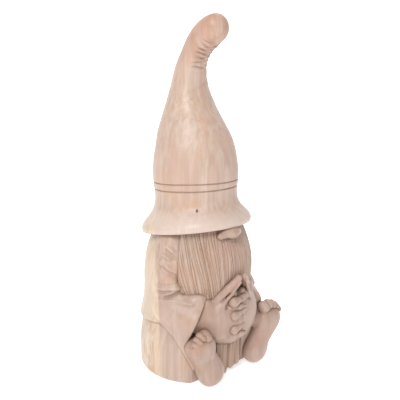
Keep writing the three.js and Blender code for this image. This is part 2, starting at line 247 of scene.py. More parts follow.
# Folds of a sleeve as [points, depth, half-width], each point being [degrees round from the front, height].
# A depth below nothing raises a ridge.
SLEEVE_FOLDS = [
    # The seam behind the arm.
    [[(88, 116), (87.6, 106), (83.3, 96), (81.6, 88)], 2.4, 2.0],
    # Diagonal folds down the upper arm.
    [[(76, 117.5), (69, 113.5)], -1.7, 1.8],
    [[(77, 113.5), (66, 107.5)], 1.4, 1.5],
    [[(77, 110.5), (71, 107.6)], -1.9, 1.6],
    [[(81.5, 105), (73, 102), (65, 97)], -2.2, 2.0],
    [[(80, 101), (70, 95.5)], 1.0, 1.4],
    [[(80.5, 99), (74.5, 93.2)], -1.3, 1.5],
    [[(67, 95.8), (59.4, 88), (57, 84.5)], 2.2, 2.6],
    # The crumpled inside of the elbow.
    [[(80, 87), (70, 86.4), (63, 88.5)], 1.1, 1.3],
    [[(81, 84), (68, 83.4), (60.5, 84.6)], -1.2, 1.4],
    [[(82, 80.8), (74, 80.4), (68, 81.8)], 1.5, 1.2],
    [[(73, 76.2), (69, 77), (61.5, 81), (56.8, 80)], 2.4, 1.3],
    # The top edge of the forearm.
    [[(77, 75), (69.7, 75), (58.7, 74.2), (48, 72.4)], -1.9, 1.7],
]
SLEEVE_R = 50
# The left forearm is held this much closer than the right one.
LEFT_TUCK = 1.6


def coat_form(p):
    y, z = p[:, 1], p[:, 2]
    hem = HEM_Z + 3.5 - 0.12 * y
    coat = smooth_max(COAT(p), hem - z, 2.2)
    lap = np.minimum(LAP_Y - y, LAP_Z - z)
    return np.maximum(coat, lap)


def seat_form(p):
    round_seat = smooth_max(SEAT(p), FLOOR_Z - p[:, 2], 7)
    round_seat = np.maximum(round_seat, p[:, 2] - HEM_Z - 6)
    front = -31.5 - p[:, 1]
    body = smooth_max(round_seat, front, 3)
    for side in SIDES.values():
        q = mirrored(p, side)
        leg = limb(q, (24, -12, 18), (25, -24, 17), 15, 13)
        leg = smooth_max(leg, FLOOR_Z + 0.5 - p[:, 2], 3)
        body = smooth_min(body, leg, 4)
    return body


STRAND_ANGLE = 3.1
BEARD_FOOT_Z = box_mm("beard")[0][2] - 6.5


def beard_form(p):
    x, y, z = p.T
    angle = np.degrees(np.arctan2(x, -y))
    drop = np.clip((132 - z) / 70, 0, 1)
    half = 64 - 3 * drop
    edge = (np.abs(angle) - half) * np.radians(1) * 44
    round_beard = BEARD(p)
    flow = angle / (1 - 0.36 * drop)
    flow = flow + 1.0 * np.sin(z / 9.5 + angle * 0.13) + 0.4 * np.sin(z / 3.7 + angle * 0.5)
    across = flow / STRAND_ANGLE
    across = across + 0.2 * np.sin(across * 2.3) + 0.12 * np.sin(across * 5.3 + z / 11)
    strand = np.floor(across)
    into = np.abs(across - strand - 0.5) * 2
    depth = 0.45 + 0.75 * scatter(strand)
    crown = 0.5 * (scatter(strand + 71) - 0.5)
    split = 0.22 * np.cos(across * 4 * math.pi)
    groove = depth * into**2.4 + crown * (1 - into**4) + split * (1 - into)
    beard = smooth_max(round_beard + groove, edge, 1.5)
    return np.maximum(beard, BEARD_FOOT_Z - z)


def sleeve_form(p, side):
    q = mirrored(p, side)
    if side > 0:
        q[:, 0] += LEFT_TUCK * np.clip((-8 - q[:, 1]) / 20, 0, 1)
    x, y, z = q.T
    cloth = smooth_max(DRAPE(q), outline_distance(y, z, SLEEVE_SIDE), 2.0)
    cloth = smooth_max(cloth, 18 - x, 3)
    upper = limb(q, (32, -5, 118), (38, -9, 86), 12.5, 14.0)
    fore = limb(q, (38.5, -10, 65.5), (31, -31, 55.6), 15.6, 15.2)
    elbow = limb(q, (38.5, -8, 80), (39, -8, 67), 13.6, 15)
    arm = smooth_min(smooth_min(upper, elbow, 4), fore, 3)
    whole = smooth_min(cloth, arm, 3)
    pit = limb(q, (44, -28, 97), (39, -32, 84), 3.5, 6.2)
    whole = smooth_max(whole, -pit, 6)
    round_it = np.arctan2(x, -y) * SLEEVE_R
    for line, depth, width in SLEEVE_FOLDS:
        path = [(math.radians(degrees) * SLEEVE_R, height) for degrees, height in line]
        whole = whole + depth * np.exp(-((path_distance(round_it, z, path) / width) ** 2))
    cuff = (q - CUFF_POINT) @ CUFF_NORMAL
    cuff = np.where(z > 34, cuff, -5)
    return smooth_max(whole, cuff, 1.2)


# The fold where a thumb lies along the edge of its hand.
THUMB_EDGE = [(17.5, -47, 61.5), (8.5, -52.5, 74.5), (4, -54.5, 82)]


def palm_form(p, side):
    q = mirrored(p, side)
    back = ellipsoid(q, HAND_CENTRE, (30 if side > 0 else 24.5, 18, 25.5))
    wrist = limb(q, (31, -24.5, 57), (14, -37, 58), 12.4, 14.0)
    knob = limb(q, (24.5, -37.6, 69.6), (26, -37.5, 61), 5.3, 5.6)
    heel_of_hand = limb(q, (26, -31, 50), (15, -37, 45), 9, 10.5)
    hand = smooth_min(smooth_min(smooth_min(back, wrist, 6), heel_of_hand, 5), knob, 4)
    web = limb(q, (13, -42, 66), (5, -49.5, 77), 6.5, 3.0)
    hand = smooth_min(hand, web, 4)
    hand = hand + crease(q, THUMB_EDGE, 1.8, 1.5)
    thumb = limb(q, (20.5, -38.8, 68.5), (10.5, -48.6, 82.5), 4.4, 3.3)
    thumb = smooth_min(thumb, limb(q, (10.5, -48.6, 82.5), (3.2, -53.3, 91), 3.3, 2.6), 1.2)
    ridge = limb(q, (19.5, -44.3, 64.6), (9.4, -52.5, 79), 1.8, 1.4)
    ridge = smooth_min(ridge, limb(q, (9.4, -52.0, 79), (3.2, -55.4, 88), 1.2, 0.9), 0.5)
    thumb = smooth_min(thumb, ridge, 1.0)
    hand = smooth_min(hand, thumb, 1.0)
    return smooth_max(hand, -q[:, 0], 0.6)


def finger_form(p, side, z):
    q = mirrored(p, side)
    y = HAND_CENTRE[1] - 16.4
    if side > 0:
        first = limb(q, (6.5, y + 1.2, z + 3.6), (0.5, y + 0.2, z + 2.8), 1.8, 2.9)
        tip = limb(q, (-3, y + 0.3, z + 2.2), (-8.2, y + 1.6, z + 0.8), 2.7, 4.6)
    else:
        first = limb(q, (11, y + 3.9, z + 1.9), (3, y + 1.0, z + 1.6), 2.6, 2.8)
        tip = limb(q, (3, y + 1.0, z + 1.6), (-4.4, y + 1.2, z + 0.2), 2.8, 1.9)
    return smooth_min(first, tip, 1.5)


# The middle of each heel, out from the inner edge of the foot's box.
HEEL_OUT = {-1: 10.5, 1: 11.8}


def heel(side):
    """The point on the floor under a heel, from the foot's own box."""
    name = "right" if side < 0 else "left"
    lo, hi = box_mm("foot_" + name)
    inner = hi[0] if side < 0 else lo[0]
    return np.array([inner + side * HEEL_OUT[side], -42.5, lo[2]], np.float32)


HEELS = {side: heel(side) for side in SIDES.values()}


# How far the ball of each foot spreads, and how far its toes lean forward.
SPREAD = {-1: 0.8, 1: 0.97}
TOE_REACH = {-1: 4.6, 1: 3.9}


def foot_place(side, out, y, z):
    x0, y0, z0 = HEELS[side]
    return (x0 + side * out, y0 + y, z0 + z)


def sole_form(p, side):
    spread = SPREAD[side]
    at = lambda out, y, z: foot_place(side, out * spread, y, z)
    low = ellipsoid(p, at(-0.5, 0, 11), (11.4, 8.2, 11))
    mid = limb(p, at(0, 1, 14), at(13.5, -1.5, 33), 11, 13.2 * spread, flat=0.6)
    ball = ellipsoid(p, at(9.5, -4, 37.5), (8.4 * spread, 5.2, 8.5))
    outer = ellipsoid(p, at(20, -3.4, 37), (8 * spread, 4.8, 8.5))
    sole = smooth_min(smooth_min(low, mid, 6), smooth_min(ball, outer, 3.5), 4)
    back = limb(p, at(-1, 8, 13), at(12, 8, 33), 10, 9)
    instep = limb(p, at(0, 7, 40), at(17, 6, 35), 8, 7)
    return smooth_min(smooth_min(sole, back, 6), instep, 4)


def toe_form(p, side, toe):
    out, z, r = toe
    root = foot_place(side, out * 0.92 + 0.6, -3.4, z - 8)
    knuckle = foot_place(side, out, -1.2, z + 0.9)
    tip = foot_place(side, out - 0.2, -TOE_REACH[side], z - 0.4)
    near_half = limb(p, root, knuckle, r * 0.66, r * 0.8)
    far_half = limb(p, knuckle, tip, r * 0.8, r * 0.8)
    return smooth_min(near_half, far_half, 1.2)


def beard_end_form(p):
    x, y, z = p.T
    locks = [(-9, -35.2, 3.6, 1.0), (-3.6, -36.2, 3.6, 0.8), (3.2, -37, 4.6, 3.6), (10.2, -36.4, 4.8, 4.4)]
    whole = None
    for cx, cy, r, foot in locks:
        lock = limb(p, (cx, cy, foot + r), (cx * 0.85, cy - 1, 44), r, r)
        whole = lock if whole is None else smooth_min(whole, lock, 0.8)
    ridges = 0.8 * np.abs(np.sin(x / 0.95 + 0.25 * np.sin(z / 6)))
    return whole + ridges - 0.35


def nose_form(p):
    cx = (NOSE_LO[0] + NOSE_HI[0]) / 2
    tip = ellipsoid(p, (cx - 0.5, -43.6, 127.3), (7.2, 6.0, 4.9))
    bridge = ellipsoid(p, (cx, -38, 128.2), (11, 7, 5.0))
    right = limb(p, (cx - 6, -42.2, 127.6), (cx - 11.5, -41.6, 125.7), 4.2, 2.8)
    left = limb(p, (cx + 6, -42.0, 127.8), (cx + 9.5, -41, 126), 4.0, 2.9)
    return smooth_min(smooth_min(tip, bridge, 2.5), smooth_min(right, left, 1), 1.6)


# Every form with the node it belongs to and the depth and half-width of the line cut round it.
FORMS = [
    ("coat", coat_form, 0.6, 0.75),
    ("trousers", seat_form, 0.75, 0.75),
    ("beard", beard_form, 0.2, 0.8),
    ("beard_end", beard_end_form, 1.6, 1.1),
    ("nose", nose_form, 0.9, 0.9),
]
for name, side in SIDES.items():
    FORMS.append(("sleeve_" + name, lambda p, s=side: sleeve_form(p, s), 0.4, 0.7))
    FORMS.append(("hand_" + name, lambda p, s=side: palm_form(p, s), 0.35, 0.75))
    FORMS.append(("foot_" + name, lambda p, s=side: sole_form(p, s), 0.05, 0.8))
    for z in FINGER_Z[name]:
        FORMS.append(("hand_" + name, lambda p, s=side, h=z: finger_form(p, s, h), 0.2, 0.7))
    for toe in TOES[side]:
        FORMS.append(("foot_" + name, lambda p, s=side, t=toe: toe_form(p, s, t), 0.4, 0.7))

FAR = 25.0
OWNERS = np.array([node for node, *_ in FORMS])
REACH = {node: (box_mm(node)[0] - 13, box_mm(node)[1] + 13) for node in dict.fromkeys(OWNERS)}


def all_distances(p):
    """The distance from each point to every form, or FAR where a form's node is well clear of the point."""
    out = np.full((len(FORMS), len(p)), FAR, np.float32)
    for node, (lo, hi) in REACH.items():
        near = np.nonzero(((p > lo) & (p < hi)).all(1))[0]
        if len(near):
            q = p[near]
            for i in np.nonzero(OWNERS == node)[0]:
                out[i, near] = FORMS[i][1](q)
    return out


LINE_DEPTH = np.array([depth for *_, depth, _ in FORMS], np.float32)
LINE_HALF = np.array([half for *_, half in FORMS], np.float32)
# The hollow between the thumbs, as its centre and radii.
THUMB_HOLLOW = [(-0.5, -56, 79), (2.4, 4, 5.5)]
OVERLAP = 0.08  # how far neighbouring pieces reach past the face they share, so that no gap shows


def carved(p, node=None):
    """The carved surface. With a node, only that node's share of the block."""
    d = all_distances(p)
    order = np.argpartition(d, 1, axis=0)[:2]
    first = np.take_along_axis(d, order, 0)
    swap = first[0] > first[1]
    nearest = np.where(swap, order[1], order[0])
    other = np.where(swap, order[0], order[1])
    d1, d2 = first.min(0), first.max(0)
    depth = (LINE_DEPTH[nearest] + LINE_DEPTH[other]) / 2
    half = (LINE_HALF[nearest] + LINE_HALF[other]) / 2
    line = depth * np.exp(-(((d2 - d1) / half) ** 2))
    whole = d1 + line
    hollow = ellipsoid(p, *THUMB_HOLLOW)
    whole = smooth_max(whole, -hollow, 2.5)
    ceiling = p[:, 2] - (TOP_Z - 4.7 - BRIM_SLOPE * p[:, 1])
    whole = np.maximum(whole, ceiling)
    whole = np.maximum(whole, FLOOR_Z - p[:, 2])
    if node is None:
        return whole
    mine = OWNERS == node
    share = (d[mine].min(0) - d[~mine].min(0)) / 2
    return np.maximum(whole, share - OVERLAP)


# ---- From field to mesh ---------------------------------------------------------------------------

CORNERS = np.array([(i, j, k) for i in (0, 1) for j in (0, 1) for k in (0, 1)])
EDGES = [(a, b) for a in range(8) for b in range(a + 1, 8) if np.abs(CORNERS[a] - CORNERS[b]).sum() == 1]


def in_chunks(field, points, size=400_000):
    return np.concatenate([field(points[i : i + size]) for i in range(0, len(points), size)])


def sampled(field, lo, hi, step):
    """The field on a grid, worked out in full only near the surface."""
    block = 4
    big = step * block
    count = np.ceil((hi - lo) / big).astype(int) + 1
    axes = [lo[i] + big * (np.arange(count[i]) + 0.5) - step / 2 for i in range(3)]
    centres = np.stack(np.meshgrid(*axes, indexing="ij"), -1).reshape(-1, 3).astype(np.float32)
    rough = in_chunks(field, centres)
    reach = big * 1.15 + 1.6  # more than half a block's diagonal, with room for the smooth joins
    near = np.abs(rough) < reach
    volume = np.repeat(np.repeat(np.repeat(rough.reshape(count), block, 0), block, 1), block, 2)
    offsets = np.stack(np.meshgrid(*[np.arange(block)] * 3, indexing="ij"), -1).reshape(-1, 3)
    blocks = np.stack(np.unravel_index(np.nonzero(near)[0], count), -1)
    cells = (blocks[:, None, :] * block + offsets[None]).reshape(-1, 3)
    points = (lo + cells * step).astype(np.float32)
    volume[tuple(cells.T)] = in_chunks(field, points)
    return volume


def interior(size, axis):
    """The part of the grid whose edges along an axis have four cells round them."""
    return tuple(slice(0, size[i] - (0 if i == axis else 1)) for i in range(3))


def net(volume, lo, step):
    """A mesh of quads on the zero level of the volume, one vertex for each cell that it crosses."""
    inside = volume < 0
    size = np.array(volume.shape) - 1
    crossed = np.zeros(size, bool)
    first = inside[: size[0], : size[1], : size[2]]
    for c in CORNERS[1:]:
        crossed |= first != inside[c[0] : c[0] + size[0], c[1] : c[1] + size[1], c[2] : c[2] + size[2]]
    cells = np.argwhere(crossed)
    index = np.full(size, -1, np.int64)
    index[tuple(cells.T)] = np.arange(len(cells))
    values = np.stack([volume[tuple((cells + c).T)] for c in CORNERS], 1)
    total = np.zeros((len(cells), 3))
    hits = np.zeros(len(cells))
    for a, b in EDGES:
        va, vb = values[:, a], values[:, b]
        cut = (va < 0) != (vb < 0)
        t = np.where(cut, va / np.where(cut, va - vb, 1), 0)[:, None]
        total += np.where(cut[:, None], CORNERS[a] + t * (CORNERS[b] - CORNERS[a]), 0)
        hits += cut
    vertices = lo + (cells + total / hits[:, None]) * step
    quads = []
    for axis in range(3):
        u, v = (axis + 1) % 3, (axis + 2) % 3
        span = [slice(1, None)] * 3
        span[axis] = slice(0, -1)
        ahead = list(span)
        ahead[axis] = slice(1, None)
        start = inside[tuple(span)][interior(size, axis)]
        end = inside[tuple(ahead)][interior(size, axis)]
        spots = np.argwhere(start != end)
        outward = start[tuple(spots.T)]
        cell = spots.copy()
        cell[:, u] += 1
        cell[:, v] += 1
        eu, ev = np.eye(3, dtype=int)[u], np.eye(3, dtype=int)[v]
        around = [cell - a * eu - b * ev for a, b in ((1, 1), (0, 1), (0, 0), (1, 0))]
        ring = np.stack([index[tuple(corner.T)] for corner in around], 1)
        quads.append(np.where(outward[:, None], ring, ring[:, ::-1]))
    return vertices.astype(np.float32), np.concatenate(quads)


def neighbours_mean(vertices, quads):
    """Each vertex's neighbours along the quads' edges, averaged."""
    total = np.zeros_like(vertices)
    count = np.zeros(len(vertices), np.float32)
    for a, b in ((0, 1), (1, 2), (2, 3), (3, 0)):
        for s, e in ((a, b), (b, a)):
            for axis in range(3):
                total[:, axis] += np.bincount(quads[:, s], vertices[quads[:, e], axis], len(vertices))
            count += np.bincount(quads[:, s], minlength=len(vertices))
    return total / count[:, None]


def slope_of(field, points, step=0.12):
    here = in_chunks(field, points)
    rises = [in_chunks(field, points + step * np.eye(3, dtype=np.float32)[i]) - here for i in range(3)]
    return here, np.stack(rises, 1) / step


def settle(field, vertices, quads, step):
    """Evens the mesh out and drops its vertices exactly onto the surface."""
    for _ in range(2):
        vertices = vertices + 0.6 * (neighbours_mean(vertices, quads) - vertices)
        here, slope = slope_of(field, vertices)
        move = here[:, None] * slope / np.maximum((slope**2).sum(1), 0.3)[:, None]
        length = np.sqrt((move**2).sum(1))
        vertices = vertices - move * np.minimum(1, step / np.maximum(length, 1e-6))[:, None]
    return vertices.astype(np.float32)


def openness(vertices):
    """How open the carved surface is at each point: 1 on a ridge, 0 deep in a cut. The wood is darkened by
    it as painted shade in cuts and hollows.
    """
    here, slope = slope_of(carved, vertices)
    normal = slope / np.maximum(np.sqrt((slope**2).sum(1)), 1e-6)[:, None]
    shade = np.zeros(len(vertices))
    reaches = (0.5, 1.0, 2.0, 4.0)
    for reach in reaches:
        out = in_chunks(carved, (vertices + normal * reach).astype(np.float32))
        shade += np.clip((reach - (out - here)) / reach, 0, 1)
    return 1 - shade / len(reaches)


def mesh_object(name, vertices, faces, attributes):
    mesh = bpy.data.meshes.new(name)
    mesh.vertices.add(len(vertices))
    mesh.vertices.foreach_set("co", (vertices * MM).astype(np.float32).ravel())
    sides = faces.shape[1]
    mesh.loops.add(faces.size)
    mesh.loops.foreach_set("vertex_index", faces.astype(np.int32).ravel())
    mesh.polygons.add(len(faces))
    mesh.polygons.foreach_set("loop_start", (np.arange(len(faces)) * sides).astype(np.int32))
    mesh.polygons.foreach_set("use_smooth", np.ones(len(faces), bool))
    for label, values in attributes.items():
        mesh.attributes.new(label, "FLOAT", "POINT").data.foreach_set("value", values.astype(np.float32))
    mesh.validate()
    mesh.update(calc_edges=True)
    made = bpy.data.objects.new(name, mesh)
    bpy.context.scene.collection.objects.link(made)
    return made


MARGIN = 7  # how far outside the CAD's node a carved piece may reach


def sculpt(node, step):
    """One node's carved piece."""
    step = step * COARSER
    lo, hi = box_mm(node)
    lo, hi = lo - MARGIN, hi + MARGIN
    lo[2] = max(lo[2], FLOOR_Z - 3 * step)
    field = lambda p: carved(p, node)
    volume = sampled(field, lo, hi, step)
    vertices, quads = net(volume, lo, step)
    vertices = settle(field, vertices, quads, step)
    return mesh_object(node + "_carved", vertices, quads, {"openness": openness(vertices)})


# ---- Hat ------------------------------------------------------------------------------------------

# The hat's centre line in the middle plane, as [y, z], and its radius against length along that
# line, counted from the line's first height.
HAT_LINE = [
    [0, 124], [0.3, 160], [1, 178], [2.2, 191], [5.1, 207], [7.4, 224], [8, 240],
    [6.1, 257], [1.9, 267.5], [-4.8, 277.4], [-13.5, 284.9], [-22, 289], [-34, 290],
]
HAT_RADII = [
    [46.4, 126], [BRIM_R - 0.9, 128.4], [46.0, 132], [42.0, 137], [38.4, 141.5], [36.2, 146], [35.2, 151],
    [35.2, 157], [36, 162.5], [36.4, 170], [36.1, 178], [34.3, 191], [29.6, 207.5], [22.7, 225],
    [17, 241.3], [13.2, 258.4], [11.5, 269.7], [11.7, 281.7], [12.2, 292.4], [11.6, 301.8],
]
# The hat's marks are placed by length along its line.
HAT_GROOVES = [159.6, 165.4]
CURL_CREASES = [  # [length, depth] on the inside of the curl
    (260, 0.3), (265.5, 0.6), (270.5, 0.9), (275.2, 1.0), (280, 1.1), (285.5, 1.1), (291, 1.0), (296, 0.8),
    (300.5, 0.45),
]
NECK_FOLDS = [(238, 7, 0.35), (246, 9, 0.5), (229, 9, 0.35)]  # [length, slant, depth] below the curl
HAT_ROUND = 220


def hat_piece():
    line = smooth_curve(HAT_LINE, 800)
    length = HAT_LINE[0][1] + np.concatenate([[0], np.cumsum(np.hypot(*np.diff(line, axis=0).T))])
    wall = smooth_curve(HAT_RADII, 900)
    end_r, end_s = HAT_RADII[-1]
    s_even = np.arange(126, end_s, 0.75 * COARSER)
    s_fine = np.concatenate([g + np.arange(-2, 2.01, 0.2) for g in HAT_GROOVES])
    s_side = np.unique(np.round(np.concatenate([s_even, s_fine]), 2))
    r_side = np.interp(s_side, wall[:, 1], wall[:, 0])
    dome = np.linspace(0, math.pi / 2, 20)[1:]
    s_dome = end_s + end_r * 0.9 * np.sin(dome)
    r_dome = end_r * np.cos(dome)
    ceiling = TOP_Z - 4.6
    recess = np.array([
        [0.01, ceiling], [14, ceiling], [28, ceiling], [40, ceiling], [41.2, ceiling - 0.6], [42.6, 127.4],
        [43.8, 126], [45.2, 125.3], [46.4, 125.4],
    ])
    s = np.concatenate([recess[:, 1], s_side, s_dome])
    r = np.concatenate([recess[:, 0], r_side, r_dome])
    outer = np.arange(len(s)) >= len(recess)

    turn = np.linspace(0, 2 * math.pi, HAT_ROUND, endpoint=False)
    s2, a2 = np.meshgrid(s, turn, indexing="ij")
    r2 = np.repeat(r[:, None], HAT_ROUND, 1)
    outer2 = np.repeat(outer[:, None], HAT_ROUND, 1)
    inner_side = np.clip(-np.cos(a2), 0, 1)
    cut = np.zeros_like(s2)
    for g, groove in enumerate(HAT_GROOVES):
        tilt = 0.35 * np.cos(a2 + g) + 0.15 * np.sin(3 * a2 + 2 * g)
        cut += 1.05 * np.exp(-(((s2 - groove - tilt) / 0.55) ** 2))
    for i, (middle, depth) in enumerate(CURL_CREASES):
        wander = 0.6 * np.sin(5 * a2 + 2.1 * i) + (3.4 - 0.2 * i) * np.sin(a2)
        width = 0.8 + 0.5 * scatter(i)
        reach = np.clip(inner_side * (2.3 + 0.8 * scatter(i + 9)) - 1.3, 0, 1)
        cut += 1.15 * depth * reach * np.exp(-(((s2 - middle - wander) / width) ** 2))
    for i, (fold, slant, depth) in enumerate(NECK_FOLDS):
        off = s2 - fold - slant * np.sin(a2)
        cut += depth * np.clip(inner_side * 1.5 - 0.2, 0, 1) * np.exp(-((off / 2.4) ** 2))
    soft = 0.35 * np.sin(s2 / 13 + 2 * np.sin(a2)) * bump_window(s2, 195, 262, 20)
    rolls = 0.55 * np.sin(s2 * 1.28 + 1.5 * np.sin(a2)) * inner_side**2 * bump_window(s2, 258, 300, 8)
    dent = 1.6 * np.exp(-(((s2 - 247) / 7) ** 2)) * np.clip(inner_side - 0.3, 0, 1)
    faceting = 0.12 * np.sin(7 * a2 + s2 / 21) * bump_window(s2, 150, 300, 15)
    r3 = r2 + outer2 * (soft + faceting + rolls - cut - dent)
    r3 = np.where(r2 < 1, r2, r3)

    inner = np.interp(s2, length, line[:, 0])
    height = np.interp(s2, length, line[:, 1])
    ty = np.interp(s2, length, np.gradient(line[:, 0], length))
    tz = np.interp(s2, length, np.gradient(line[:, 1], length))
    across = r3 * np.cos(a2)
    x = r3 * np.sin(a2)
    y = inner + across * tz
    z = height - across * ty
    ease = np.clip((s2 - 130) / (182 - 130), 0, 1)
    z = z - y * BRIM_SLOPE * (1 - ease * ease * (3 - 2 * ease))

    rows = len(s)
    vertices = np.stack([x, y, z], -1).reshape(-1, 3)
    i = np.arange(rows - 1)[:, None] * HAT_ROUND
    j = np.arange(HAT_ROUND)[None]
    k = (np.arange(HAT_ROUND) + 1)[None] % HAT_ROUND
    faces = np.stack([i + j, i + k, i + HAT_ROUND + k, i + HAT_ROUND + j], -1).reshape(-1, 4)
    # how open the hat's surface is: its grooves, creases and folds get painted shade from this, and the
    # hollow under the brim a middling amount of painted shade
    open_values = 1 - np.clip(cut * 0.75, 0, 1)
    open_values = np.where(outer2, open_values, 0.6)
    made = mesh_object("hat_carved", vertices, faces, {"openness": open_values.ravel()})
    return made


# ---- Wood -----------------------------------------------------------------------------------------


class Graph:
    """Short names for building a material's nodes."""

    def __init__(self, name):
        self.material = bpy.data.materials.new(name)
        self.material.use_nodes = True
        self.tree = self.material.node_tree
        self.tree.nodes.clear()

    def add(self, kind, inputs=None, **settings):
        node = self.tree.nodes.new(kind)
        for key, value in settings.items():
            setattr(node, key, value)
        for key, value in (inputs or {}).items():
            self.feed(node.inputs[key], value)
        return node

    def feed(self, socket, value):
        if isinstance(value, bpy.types.NodeSocket):
            self.tree.links.new(value, socket)
        else:
            socket.default_value = value

    def math(self, operation, a, b=0.0, clamp=False):
        return self.add("ShaderNodeMath", {0: a, 1: b}, operation=operation, use_clamp=clamp).outputs[0]

    def mix(self, factor, a, b, blend="MIX"):
        node = self.add("ShaderNodeMix", data_type="RGBA", blend_type=blend)
        self.feed(node.inputs[0], factor)
        self.feed(node.inputs[6], a)
        self.feed(node.inputs[7], b)
        return node.outputs[2]

    def noise(self, vector, scale, detail=3.0, rough=0.5, distortion=0.0):
        inputs = {"Vector": vector, "Scale": scale, "Detail": detail}
        inputs.update({"Roughness": rough, "Distortion": distortion})
        return self.add("ShaderNodeTexNoise", inputs).outputs["Fac"]

    def stretched(self, vector, scale):
        return self.add("ShaderNodeMapping", {"Vector": vector, "Scale": scale}).outputs["Vector"]

    def ramp(self, value, lo, hi, to_lo=0.0, to_hi=1.0):
        node = self.add("ShaderNodeMapRange", {"Value": value, 1: lo, 2: hi, 3: to_lo, 4: to_hi})
        node.interpolation_type = "SMOOTHSTEP"
        return node.outputs["Result"]


TIP_TONE = (0.88, 0.72, 0.64, 1)  # the curl is this much darker
KNOT = (-0.0257, -0.0273, 0.1465)  # a pin knot above the brim
KNOT_BROWN = (0.075, 0.04, 0.025, 1)
SAP_EDGE = 0.0302  # where the sapwood starts, out from the middle towards the back right
SAP_LEAN = 0.0042  # how far that edge leans outwards up the body
SAP_TOP = HAT_LO[2] * MM + 0.01  # it shows less on the hat
BRIM_HIGHLIGHT_END = HAT_LO[2] * MM + 0.03  # the painted highlight on the brim fades out above here
# the colour of the painted highlight on the brim
BRIM_HIGHLIGHT_COLOUR = (0.58, 0.49, 0.44, 1)
SAP_YELLOW = (0.56, 0.44, 0.32, 1)
SAP_PALE = (0.52, 0.43, 0.34, 1)
SAP_TAN = (0.45, 0.32, 0.22, 1)
SAP_VEIN = (0.36, 0.195, 0.1, 1)
ARM_BAND_SHADE = 0.26  # painted shade: a darker band across the height of the forearms


def with_sapwood(g, colour, place, z, towards, warp, ragged, fibre_wide):
    """The pale outer wood of the block, laid over a colour."""
    edge = g.math("ADD", towards, g.math("MULTIPLY", g.math("SUBTRACT", warp, 0.5), 0.004))
    edge = g.math("ADD", edge, g.math("MULTIPLY", g.math("SUBTRACT", ragged, 0.5), 0.0035))
    edge = g.math("SUBTRACT", edge, g.ramp(z, 0.06, 0.125, 0.0, SAP_LEAN))
    sap = g.ramp(edge, SAP_EDGE - 0.0011, SAP_EDGE + 0.0011)
    sap = g.math("MULTIPLY", sap, g.ramp(z, SAP_TOP + 0.02, SAP_TOP, 0.2, 1.0))
    depth_in_sap = g.ramp(edge, SAP_EDGE, SAP_EDGE + 0.014)
    sap_colour = g.mix(depth_in_sap, SAP_YELLOW, SAP_PALE)
    sap_colour = g.mix(g.math("MULTIPLY", g.ramp(fibre_wide, 0.6, 0.35), 0.5), sap_colour, SAP_TAN)
    flame = g.noise(g.stretched(place, (190, 190, 44)), 1.0, 4.0, 0.62, 1.9)
    low_down = g.ramp(z, 0.065, 0.03, 0.3, 1.0)
    flame = g.math("MULTIPLY", g.ramp(flame, 0.44, 0.58), low_down)
    flame = g.math("MULTIPLY", flame, g.ramp(depth_in_sap, 0.1, 0.5, 0.35, 1.0))
    sap_colour = g.mix(g.math("MULTIPLY", flame, 0.62), sap_colour, SAP_VEIN)
    return g.mix(g.math("MULTIPLY", sap, 0.9), colour, sap_colour)


def with_tip_and_knot(g, colour, place, z, cloud, ragged):
    """The darker tone of the hat's curl, and the pin knot above its brim, laid over a colour."""
    tip = g.ramp(z, HAT_HI[2] * MM - 0.05, HAT_HI[2] * MM - 0.008, 0.0, 1.0)
    tip = g.math("MULTIPLY", tip, g.ramp(cloud, 0.4, 0.62, 0.45, 1.0))
    colour = g.mix(tip, colour, g.mix(1.0, colour, TIP_TONE, "MULTIPLY"))
    from_knot = g.add("ShaderNodeVectorMath", {0: place, 1: KNOT}, operation="SUBTRACT").outputs[0]
    from_knot = g.stretched(from_knot, (1, 1, 0.5))
    from_knot = g.add("ShaderNodeVectorMath", {0: from_knot}, operation="LENGTH").outputs["Value"]
    knot = g.ramp(g.math("ADD", from_knot, g.math("MULTIPLY", ragged, 0.0012)), 0.0021, 0.0012)
    return g.mix(knot, colour, KNOT_BROWN)


